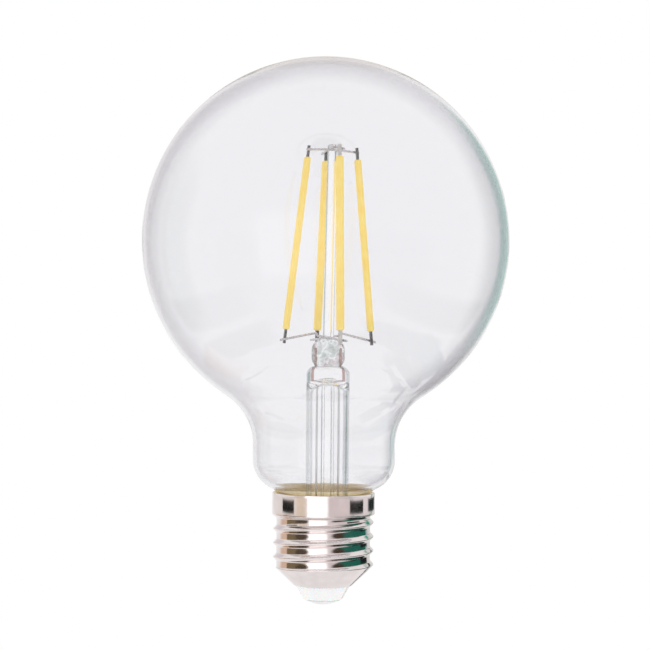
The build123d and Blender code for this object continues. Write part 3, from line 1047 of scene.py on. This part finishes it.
@dataclass
class WireCage:
    """Lead wires, side arms and top wires, which join the filaments to the press and the rod."""

    mount: LeaningMount
    radius: float = 0.3 * MM
    strip_half: float = 0.45 * MM
    weld_gap: float = 0.12 * MM
    top_drop: float = 0.8 * MM
    top_run: float = 1.0 * MM
    top_bend: float = 0.5 * MM
    top_gap: float = 0.01 * MM
    overhang: float = 1.5 * MM
    lead_offset: float = 2.85 * MM
    lead_spread: float = 3.3 * MM
    lead_splay: float = 4 * MM
    lead_bend: float = 3 * MM
    arm_rise: float = 1.5 * MM
    arm_bend: float = 0.9 * MM
    cross_rise: float = 0.75 * MM
    weld_swell: float = 0.18
    weld_length: float = 0.5 * MM
    weld_share: float = 0.15
    spacing: float = 0.15 * MM
    bend_steps: int = 12
    columns: int = 20

    @property
    def beside(self) -> float:
        """Distance between the middles of a strip and of the wire welded beside it."""
        return self.strip_half + self.radius + self.weld_gap

    def on_lead(self, sign: int, level: float) -> Array:
        """Point in the press's plane on the lead to the left or right, at a height."""
        return np.array([self.mount.shift + sign * self.lead_offset, 0, level])

    def skin(self, wire: Wire) -> Skin:
        """Surface of a wire: a circle carried along its route that swells a little where it is welded.

        Args:
            wire: The wire.

        Returns:
            The closed surface.
        """
        corners = np.array(wire.route)
        curve = rounded(corners, wire.bend, self.bend_steps, closed=False) if len(corners) > 2 else corners
        path = evenly(curve, self.spacing)
        swell = np.zeros(len(path))
        for weld in wire.welds:
            away = np.linalg.norm(path - weld, axis=1)
            swell = np.maximum(swell, self.weld_swell * np.exp(-((away / self.weld_length) ** 2)))
        angle = full_turn(self.columns)
        circle = np.stack([np.cos(angle), np.sin(angle)], axis=1)
        section = (self.radius * (1 + swell))[:, None, None] * circle
        reach = np.abs(corners[-1] - corners[0])
        level_run = reach[2] < hypot(reach[0], reach[1])
        return Skin.swept(path, section, np.array([0, 0, 1.0] if level_run else [0, 1.0, 0]))

    def top_wires(self) -> list[Wire]:
        """Wires that cross the rod's top, one above the other, and fall to the welds on both sides.

        Returns:
            The wires in order.
        """
        mount = self.mount
        swing = atan2(self.beside, mount.upper_radius)
        end = hypot(mount.upper_radius, self.beside)
        bend = mount.rod_radius + self.top_run
        reach = end + self.overhang / 2
        depth_level = mount.rod_length - self.top_drop
        side_level = depth_level - 2 * self.radius - self.top_gap
        wires = []
        for name, side, level in (("side", Side.RIGHT, side_level), ("depth", Side.BACK, depth_level)):
            fall = (level - mount.upper_level) / (end - bend) * self.overhang / 2
            places = ((reach, mount.upper_level - fall), (bend, level))
            start, first = (mount.at(side, out, height, swing=swing) for out, height in places)
            stop, last = (mount.at(side, -out, height, swing=swing) for out, height in places)
            welds = (
                start * (1 - self.weld_share) + first * self.weld_share,
                stop * (1 - self.weld_share) + last * self.weld_share,
            )
            route = [start, first, last, stop]
            wires.append(
                Wire(f"top_bridge_{name}", f"top_wire_{name}", LEAD_WIRE, route, self.top_bend, welds)
            )
        return wires

    def leads(self) -> list[Wire]:
        """Leads from the board, through the press, to the side arms.

        Returns:
            The wires in order.
        """
        press_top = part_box("flared_stem")[1].z
        tail_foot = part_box("glass_globe")[0].z
        wires = []
        for side, sign in ((Side.LEFT, -1), (Side.RIGHT, 1)):
            below, above = (self.on_lead(sign, corner.z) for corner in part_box(f"seal_wire_{side.node}"))
            bend = self.on_lead(sign, press_top + self.arm_rise)
            weld = self.mount.low_end(side, self.beside)
            end = weld + (weld - bend) / np.linalg.norm(weld - bend) * self.overhang
            at_board = sign * self.lead_spread
            down = [
                below,
                self.on_lead(sign, tail_foot + self.lead_splay / 2),
                np.array([at_board, 0, tail_foot - self.lead_splay / 2]),
                np.array([at_board, 0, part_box(f"outer_lead_{side.node}")[0].z]),
            ]
            arm, seal, lead = f"side_arm_{side.node}", f"press_seal_{side.node}", f"board_lead_{side.node}"
            wires += [
                Wire(arm, f"inner_lead_{side.node}", LEAD_WIRE, [above, bend, end], self.arm_bend, (weld,)),
                Wire(seal, f"seal_wire_{side.node}", SEAL_COPPER, [below, above]),
                Wire(lead, f"outer_lead_{side.node}", BOARD_LEAD, down, self.lead_bend),
            ]
        return wires

    def cross_arms(self) -> list[Wire]:
        """Arms from the leads to the front and back filaments.

        Returns:
            The wires in order.
        """
        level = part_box("flared_stem")[1].z + self.cross_rise
        wires = []
        for side, sign in ((Side.FRONT, -1), (Side.BACK, 1)):
            weld = self.mount.low_end(side, self.beside)
            lead = self.on_lead(sign, level)
            toward = (weld - lead) / np.linalg.norm(weld - lead)
            route = [lead + toward * (self.radius + self.weld_gap), weld + toward * self.overhang]
            name, node = f"depth_arm_{side.node}", f"cross_arm_{side.node}"
            wires.append(Wire(name, node, LEAD_WIRE, route, welds=(weld,)))
        return wires

    def build(self, wardrobe: Wardrobe) -> None:
        """Draw every wire and dress it."""
        for wire in (*self.top_wires(), *self.leads(), *self.cross_arms()):
            wardrobe.fit(self.skin(wire).piece(wire.name), wire.finish, wire.node)


@dataclass
class FilamentSet:
    """Four filaments, each a coat of phosphor over a carrier strip and its chips."""

    mount: LeaningMount
    lower_tab: float = 2.5 * MM
    upper_tab: float = 1.95 * MM
    half_width: float = 1.0 * MM
    half_depth: float = 0.85 * MM
    squareness: float = 3.0
    end_round: float = 0.45 * MM
    swell: float = 0.02
    swell_length: float = 6 * MM
    sharp_angle: float = 60.0
    rows: int = 160
    end_rows: int = 10
    columns: int = 32

    def coat(self, side: Side) -> Piece:
        """Coat of one filament.

        A rounded block is carried from the lower to the upper end. It swells and thins a little along the
        way as the sine of the length run, and closes in at the ends as a quarter circle does.

        Args:
            side: Filament that is drawn.

        Returns:
            The new piece.
        """
        low = self.mount.low_end(side)
        high = self.mount.at(side, self.mount.upper_radius, self.mount.upper_level)
        along = (high - low) / np.linalg.norm(high - low)
        start, end = low + along * self.lower_tab, high - along * self.upper_tab
        length = np.linalg.norm(end - start)
        ends = self.end_round * (1 - np.cos(np.linspace(0, pi / 2, self.end_rows)))
        middle = np.linspace(self.end_round, length - self.end_round, self.rows)[1:-1]
        run = np.concatenate([ends, middle, length - ends[::-1]])
        near_end = np.clip(np.minimum(run, length - run) / self.end_round, 0, 1)
        closing = self.end_round * (1 - np.sqrt(1 - (1 - near_end) ** 2))
        wave = 1 + self.swell * np.sin(2 * pi * run / self.swell_length + side.value)
        angle = full_turn(self.columns)
        reach = block_reach(angle, 1.0, 1.0, self.squareness)
        wide = (self.half_width * wave - closing)[:, None] * reach * np.cos(angle)
        deep = (self.half_depth * wave - closing)[:, None] * reach * np.sin(angle)
        outward = np.cross(self.mount.low_end(side, aside=1.0) - low, along)
        skin = Skin.swept(start + run[:, None] * along, np.stack([wide, deep], axis=2), outward)
        return skin.piece(f"phosphor_{side.node}", self.sharp_angle)

    def build(self, wardrobe: Wardrobe) -> None:
        """Draw the four coats and dress the solids inside them.

        Args:
            wardrobe: Materials made so far.
        """
        for side in Side:
            wardrobe.fit(self.coat(side), PHOSPHOR, f"filament_coat_{side.node}")
            # Painted light: the front filament's strip gets the lighter copy of the same tin.
            strip = STRIP_PAINTED_LIGHT if side is Side.FRONT else STRIP_TIN
            wardrobe.keep(strip, f"filament_strip_{side.node}")
            wardrobe.keep(CHIP_BLUE, f"led_chips_{side.node}")


@dataclass
class ScrewCap:
    """Rolled cap shell with its cement, insulator and centre contact."""

    tail_radius: float
    pitch: float = 3.629 * MM
    depth: float = 0.9 * MM
    crest_radius: float = 13.025 * MM
    crest_round: float = 0.12 * MM
    flank_slope: float = 1.0
    root_hollow: float = 0.1 * MM
    root_edge: float = 0.04 * MM
    start_angle: float = 183.0
    sheet: float = 0.3 * MM
    collar_height: float = 5.8 * MM
    collar_step: float = 0.4 * MM
    mouth_radius: float = 7.6 * MM
    cone_angle: float = 46.5
    rolled_edge: float = 0.12 * MM
    thread_rows: int = 320
    step_rows: int = 16
    collar_rows: int = 10
    rim_rows: int = 7
    inside_stride: int = 4
    cement_gap: float = 0.02 * MM
    cement_lip: float = 0.75 * MM
    cement_toe: float = 0.1 * MM
    cement_fall: float = 1.7 * MM
    cement_round: float = 0.15 * MM
    insulator_tip: float = 5.1 * MM
    insulator_floor: float = 3.4 * MM
    insulator_wall: float = 1.5 * MM
    insulator_round: float = 0.25 * MM
    seat_gap: float = 0.05 * MM
    contact_height: float = 1.3 * MM
    contact_radius: float = 4.8 * MM
    contact_land: float = 2.0 * MM
    contact_edge: float = 0.3 * MM
    contact_rise: float = 0.75
    contact_base: float = 0.7 * MM
    contact_round: float = 0.9 * MM
    rivet_radius: float = 1.5 * MM
    rivet_bore: float = 0.95 * MM
    cement_steps: int = 5
    insulator_steps: int = 6
    contact_steps: int = 8
    contact_columns: int = 96
    columns: int = 180

    @property
    def cone_slope(self) -> float:
        """Growth of the cone's radius for each unit of height."""
        return tan(radians(self.cone_angle))

    @property
    def cone_wall(self) -> float:
        """Level thickness of the sheet in the cone."""
        return self.sheet / cos(radians(self.cone_angle))

    def wall(self, level: Array, angle: Array) -> Array:
        """Outer radius of the shell.

        The thread climbs one pitch for each turn round the axis. Its ridge is a hyperbola and its root a
        shallow cosine. The ridge meets the root, and the thread the cone, at rounded edges. The thread runs
        out into the collar by a smooth step.

        Args:
            level: Heights.
            angle: Angles round the axis in radians.

        Returns:
            Outer radius at each height and angle.
        """
        low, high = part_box("cap_shell")
        turns = (level - low.z) / self.pitch - (angle - radians(self.start_angle)) / (2 * pi)
        aside = self.pitch * (turns - np.round(turns))
        ridge = self.flank_slope * (self.crest_round - np.hypot(aside, self.crest_round))
        root = self.root_hollow * (1 + np.cos(2 * pi * turns)) / 2 - self.depth
        thread = self.crest_radius + larger(ridge, root, self.root_edge)
        cone = self.mouth_radius + (level - low.z) * self.cone_slope
        body = -larger(-thread, -cone, self.rolled_edge)
        step = smooth_step((level - (high.z - self.collar_height)) / (2 * self.collar_step) + 0.5)
        return body * (1 - step) + (high.x - low.x) / 2 * step

    def shell_skin(self) -> Skin:
        """Surface of the shell, up the outside, over the rim and down the inside, one sheet further in.

        Returns:
            The closed surface, whose last row runs on to the first.
        """
        low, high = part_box("cap_shell")
        collar_foot = high.z - self.collar_height
        half = self.sheet / 2
        rim = high.z - half
        stops = (low.z, collar_foot - 2 * self.collar_step, collar_foot + 2 * self.collar_step, rim)
        counts = (self.thread_rows, self.step_rows, self.collar_rows)
        rows = [np.linspace(*ends, count)[1:] for *ends, count in zip(stops, stops[1:], counts)]
        outside = np.concatenate([[low.z], *rows])[:, None]
        inside = np.concatenate([outside[: 0 : -self.inside_stride], outside[:1]])
        angle = full_turn(self.columns)
        cone = self.mouth_radius - self.cone_wall + (inside - low.z) * self.cone_slope
        inner = np.minimum(self.wall(inside, angle) - self.sheet, cone)
        over = np.linspace(0, pi, self.rim_rows + 2)[1:-1, None]
        edge = (high.x - low.x) / 2 - half + half * np.cos(over)
        edge = np.broadcast_to(edge, (self.rim_rows, self.columns))
        radius = np.concatenate([self.wall(outside, angle), edge, inner])
        level = np.concatenate([outside, rim + half * np.sin(over), inside])
        return Skin(round_axis(radius, level, self.columns))

    def cement_skin(self) -> Skin:
        """Surface of the cement: a rounded outline between collar and glass, turned round the axis.

        Returns:
            The closed surface.
        """
        low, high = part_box("cap_cement")
        bore = (high.x - low.x) / 2
        corners = np.array(
            [
                [self.tail_radius + self.cement_gap, low.z],
                [bore, low.z],
                [bore, high.z],
                [self.tail_radius + self.cement_lip, high.z],
                [self.tail_radius + self.cement_toe, high.z - self.cement_fall],
            ]
        )
        outline = rounded(corners, self.cement_round, self.cement_steps, closed=True)
        return Skin.turned(outline, self.columns, shut=False)

    def insulator_skin(self) -> Skin:
        """Surface of the insulator: a dish with rounded edges, turned round the axis.

        Returns:
            The closed surface.
        """
        low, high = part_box("cap_insulator")
        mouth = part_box("cap_shell")[0].z
        mouth_bore = self.mouth_radius - self.cone_wall
        top = mouth_bore + (high.z - mouth) * self.cone_slope
        floor = low.z + self.insulator_floor
        hole = self.rivet_radius + self.seat_gap
        corners = np.array(
            [
                [hole, low.z],
                [self.insulator_tip, low.z],
                [mouth_bore - self.seat_gap, mouth],
                [top - self.seat_gap, high.z],
                [top - self.insulator_wall, high.z],
                [mouth_bore + (floor - mouth) * self.cone_slope - self.insulator_wall, floor],
                [hole, floor],
            ]
        )
        outline = rounded(corners, self.insulator_round, self.insulator_steps, closed=True)
        return Skin.turned(outline, self.columns, shut=False)

    def contact_skin(self) -> Skin:
        """Surface of the contact: a rounded dome with a hollow rivet, turned round the axis.

        Returns:
            The closed surface.
        """
        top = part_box("centre_contact")[1].z
        corners = np.array(
            [
                [0, 0],
                [self.contact_land, 0],
                [self.contact_radius - self.contact_edge, self.contact_rise * self.contact_height],
                [self.contact_radius, self.contact_height],
                [self.rivet_radius, self.contact_height],
                [self.rivet_radius, top],
                [self.rivet_bore, top],
                [self.rivet_bore, self.contact_base],
                [0, self.contact_base],
            ]
        )
        outline = rounded(corners, self.contact_round, self.contact_steps, closed=False)
        return Skin.turned(outline, self.contact_columns, shut=True)

    def build(self, wardrobe: Wardrobe) -> None:
        """Draw the cap's pieces and dress them.

        Args:
            wardrobe: Materials made so far.
        """
        wardrobe.fit(self.shell_skin().piece("rolled_shell"), CAP_NICKEL, "cap_shell")
        wardrobe.fit(self.cement_skin().piece("cement_ring"), CEMENT_TAN, "cap_cement")
        wardrobe.fit(self.insulator_skin().piece("insulator_dish"), INSULATOR_WHITE, "cap_insulator")
        wardrobe.fit(self.contact_skin().piece("contact_dome"), CONTACT_NICKEL, "centre_contact")


@dataclass
class CapDriver:
    """Board and parts of the driver in the cap, which keep their solids."""

    finishes: dict[str, Finish] = field(
        default_factory=lambda: {
            "driver_board": BOARD_GREEN,
            "bridge_rectifier": PACKAGE_BLACK,
            "driver_chip": PACKAGE_BLACK,
            "smoothing_capacitor": CAPACITOR_BLUE,
            "fuse_resistor": FUSE_LACQUER,
            "live_wire": LEAD_WIRE,
            "neutral_wire": LEAD_WIRE,
            "contact_solder": SOFT_SOLDER,
            "shell_solder": SOFT_SOLDER,
        }
    )

    def build(self, wardrobe: Wardrobe) -> None:
        """Dress each solid of the driver."""
        for node, finish in self.finishes.items():
            wardrobe.keep(finish, node)


# Studio

# Distances of the panels from the lamp's axis
FAR = 600 * MM
NEAR = 75 * MM
CLOSE = 38 * MM


@dataclass(frozen=True)
class Panel:
    """Soft-edged panel of the studio, by its bearings from the lamp in degrees.

    Bearings run from the camera towards the right, and heights from the horizon up. A panel is seen only in
    reflections, or only in what glass bends.
    """

    name: str
    bearing: Pair
    height: Pair
    colour: Colour
    softness: Pair = (0.25, 0.25)
    distance: float = FAR
    oval: bool = False
    bent: bool = False
    strength: float = 1.0
    middle: float = 20 * MM

    def grid(self, count: int) -> tuple[Array, Array]:
        """Flat grid that faces the lamp, and how far the panel covers what is behind it.

        The cover grows from the edges inward as a smooth step, the product of one across and one upward, or
        from the rim inward if the panel is oval.

        Args:
            count: Number of points each way.

        Returns:
            The points, count by count, and the cover at each, from 0 to 1.
        """
        left, right = np.radians(self.bearing)
        facing = (left + right) / 2
        share = np.linspace(0, 1, count)
        side = self.distance * tan((right - left) / 2) * (2 * share - 1)[:, None]
        level = self.middle + self.distance * np.interp(share, [0, 1], np.tan(np.radians(self.height)))
        across = self.distance * sin(facing) + side * cos(facing)
        along = -self.distance * cos(facing) + side * sin(facing)
        points = np.stack(np.broadcast_arrays(across, along, level), axis=2)
        if self.oval:
            reach = 1 - np.hypot(2 * share[:, None] - 1, 2 * share - 1)
            return points, smooth_step(reach / self.softness[0])
        reach = np.minimum(share, 1 - share)
        sideways, upward = (smooth_step(reach / softness) for softness in self.softness)
        return points, sideways[:, None] * upward


@dataclass
class Studio:
    """Pale floor, even white light, soft panels and the camera."""

    distance: float = 480 * MM
    eye_level: float = 66 * MM
    aim: Pair = (0.0, 72.1 * MM)
    frame_width: float = 168.5 * MM
    sensor: float = 36.0
    near_clip: float = 10 * MM
    roll: float = 0.5
    floor_drop: float = 300 * MM
    floor_size: float = 4.0
    floor_colour: Colour = (0.05, 0.05, 0.05)
    floor_glow: float = 0.95
    glass_bounces: int = 40
    mirror_bounces: int = 12
    matt_bounces: int = 4
    panel_points: int = 49
    panels: tuple[Panel, ...] = (
        Panel("front_light", (-50, 15), (-24, 26), WHITE, strength=1.8),
        Panel("front_left_wall", (-70, -38), (-29, 13), (0.88, 0.76, 0.62)),
        Panel("front_right_wall", (6, 70), (-29, 13), (0.80, 0.73, 0.74)),
        Panel("left_card", (-96, -46), (2.3, 8.2), (0.012, 0.013, 0.012), (0.14, 0.1), CLOSE),
        Panel("left_tan", (-54, -32), (0.5, 10.5), (0.88, 0.76, 0.62), (0.25, 0.08), CLOSE + 0.5 * MM),
        Panel("left_pale", (-82, -28), (0.5, 10.5), (0.92, 0.86, 0.80), (0.1, 0.08), CLOSE + 1 * MM),
        Panel("left_pale_side", (-126, -76), (0.5, 10.5), (0.95, 0.92, 0.90), (0.1, 0.08), CLOSE + 1 * MM),
        Panel("left_brown_low", (-110, -30), (-25, 7), (0.22, 0.16, 0.09), (0.35, 0.35), NEAR, True),
        Panel("left_dark_low", (-72, -28), (-21, 8), (0.08, 0.06, 0.04), (0.6, 0.6), NEAR - 5 * MM, True),
        Panel("left_peach_low", (-130, -80), (-39, 4), (0.80, 0.60, 0.46), (0.4, 0.1), NEAR + 5 * MM),
        Panel("left_grey_high", (-104, -33), (9, 31), (0.35, 0.33, 0.32), (0.25, 0.25), NEAR),
        Panel("right_card", (47, 97), (2.3, 8.2), (0.01, 0.011, 0.01), (0.14, 0.1), CLOSE),
        Panel("right_dark_side", (98, 142), (2.3, 8.2), (0.02, 0.03, 0.03), (0.2, 0.1), CLOSE),
        Panel("right_pale", (8, 62), (0.5, 10.5), (0.82, 0.75, 0.75), (0.1, 0.08), CLOSE + 1 * MM),
        Panel("right_pale_side", (54, 118), (0.5, 10.5), (0.93, 0.90, 0.90), (0.1, 0.08), CLOSE + 1 * MM),
        Panel("right_pale_rear", (119, 172), (-35, 25), (0.80, 0.81, 0.80), (0.15, 0.1), CLOSE + 3 * MM),
        Panel("right_teal_low", (20, 100), (-25, 8), (0.02, 0.15, 0.11), (0.3, 0.3), NEAR, True),
        Panel("right_teal_side_low", (70, 128), (-23, 4), (0.02, 0.15, 0.11), (0.2, 0.06), NEAR),
        Panel("right_brown_low", (14, 54), (-19, 7), (0.06, 0.04, 0.025), (0.6, 0.6), NEAR - 5 * MM, True),
        Panel("right_dark_low", (54, 126), (-47, -15), (0.012, 0.016, 0.016), (0.3, 0.15), NEAR - 5 * MM),
        Panel("right_dark_end", (94, 132), (-39, -7), (0.012, 0.016, 0.016), (0.2, 0.1), NEAR - 6 * MM),
        Panel("right_grey_high", (24, 110), (9, 31), (0.30, 0.33, 0.32), (0.25, 0.25), NEAR),
        Panel("right_grey_rear", (126, 172), (-44, 1), (0.12, 0.13, 0.13), (0.3, 0.3)),
        Panel("right_teal_rear", (129, 161), (-24, 41), (0.0, 0.34, 0.24), (0.33, 0.3)),
        Panel("right_bent_rear", (104, 148), (-24, 41), (0.30, 0.40, 0.37), (0.33, 0.3), bent=True),
        Panel("left_grey_rear", (-166, -130), (-11, 61), (0.80, 0.76, 0.79), (0.3, 0.3)),
        Panel("rear_warm_high", (160, 200), (7, 53), (0.74, 0.69, 0.64), (0.35, 0.3)),
    )

    def sheet(self, name: str, points: Array, colour: Colour) -> tuple[Piece, Shader]:
        """Matt sheet through a square grid of points, kept off the lamp.

        Args:
            name: Name of the sheet and of its material.
            points: Points of the grid, row by row.
            colour: Colour of the sheet.

        Returns:
            The sheet and the shader of its material.
        """
        count = len(points)
        number = np.arange(count * count).reshape(count, count)
        corners = [number[:-1, :-1], number[1:, :-1], number[1:, 1:], number[:-1, 1:]]
        made = new_piece(name, points.reshape(-1, 3), np.stack(corners, axis=2).reshape(-1, 4).tolist())
        shader = Shader(name)
        shader.put(Base_Color=(*colour, 1.0), Roughness=1.0, Specular_IOR_Level=0.0)
        made.data.materials.append(shader.material)
        return made, shader

    def lay_floor(self) -> None:
        """Lay a pale floor below the lamp, as bright as the white behind it."""
        half = self.floor_size / 2
        across, along = np.meshgrid([-half, half], [-half, half])
        points = np.stack([across, along, np.full_like(across, -self.floor_drop)], axis=2)
        shader = self.sheet("floor", points, self.floor_colour)[1]
        shader.put(Emission_Color=(*WHITE, 1.0), Emission_Strength=self.floor_glow)

    def hang_panels(self) -> None:
        """Hang the panels round the lamp, each a sheet of light that fades out towards its edges."""
        for panel in self.panels:
            points, cover = panel.grid(self.panel_points)
            made, shader = self.sheet(panel.name, points, BLACK)
            made.data.attributes.new("cover", "FLOAT", "POINT").data.foreach_set("value", cover.ravel())
            covering = shader.node("ShaderNodeAttribute", {}, attribute_name="cover")
            shader.put(Alpha=covering.outputs["Fac"])
            shader.put(Emission_Color=(*panel.colour, 1.0), Emission_Strength=panel.strength)
            for rays in ("camera", "diffuse", "volume_scatter", "shadow"):
                setattr(made, f"visible_{rays}", False)
            made.visible_glossy = not panel.bent
            made.visible_transmission = panel.bent

    def light_room(self) -> None:
        """Fill the room with even white light and let it pass through many walls of glass."""
        scene = bpy.context.scene
        world = bpy.data.worlds.new("white_room")
        world.use_nodes = True
        background = world.node_tree.nodes["Background"]
        background.inputs["Color"].default_value = (*WHITE, 1.0)
        background.inputs["Strength"].default_value = 1.0
        scene.world = world
        scene.view_settings.view_transform = "Standard"
        scene.cycles.max_bounces = self.glass_bounces
        scene.cycles.transmission_bounces = self.glass_bounces
        scene.cycles.glossy_bounces = self.mirror_bounces
        scene.cycles.diffuse_bounces = self.matt_bounces

    def set_camera(self) -> None:
        """Stand the camera in front of the lamp, a little below its middle."""
        scene = bpy.context.scene
        data = bpy.data.cameras.new("camera")
        data.sensor_width = self.sensor
        data.lens = data.sensor_width * self.distance / self.frame_width
        data.clip_start = self.near_clip
        camera = bpy.data.objects.new("camera", data)
        camera.location = (self.aim[0], -self.distance, self.eye_level)
        target = Vector((self.aim[0], 0.0, self.aim[1]))
        looking = (target - camera.location).to_track_quat("-Z", "Y").to_matrix()
        camera.rotation_euler = (looking @ Matrix.Rotation(radians(self.roll), 3, "Z")).to_euler()
        scene.collection.objects.link(camera)
        scene.camera = camera

    def build(self) -> None:
        """Set up the floor, the panels, the light and the camera."""
        self.lay_floor()
        self.hang_panels()
        self.light_room()
        self.set_camera()


def main() -> None:
    """Build the lamp's sub-assemblies in order, then the studio round them."""
    logging.basicConfig(level=logging.INFO, format="%(name)s: %(message)s")
    wardrobe = Wardrobe()
    bulb = BlownBulb()
    mount = LeaningMount()
    bulb.build(wardrobe)
    GlassStem(mount).build(wardrobe)
    WireCage(mount).build(wardrobe)
    FilamentSet(mount).build(wardrobe)
    ScrewCap(bulb.tail_radius).build(wardrobe)
    CapDriver().build(wardrobe)
    Studio().build()


if __name__ == "__main__":
    main()
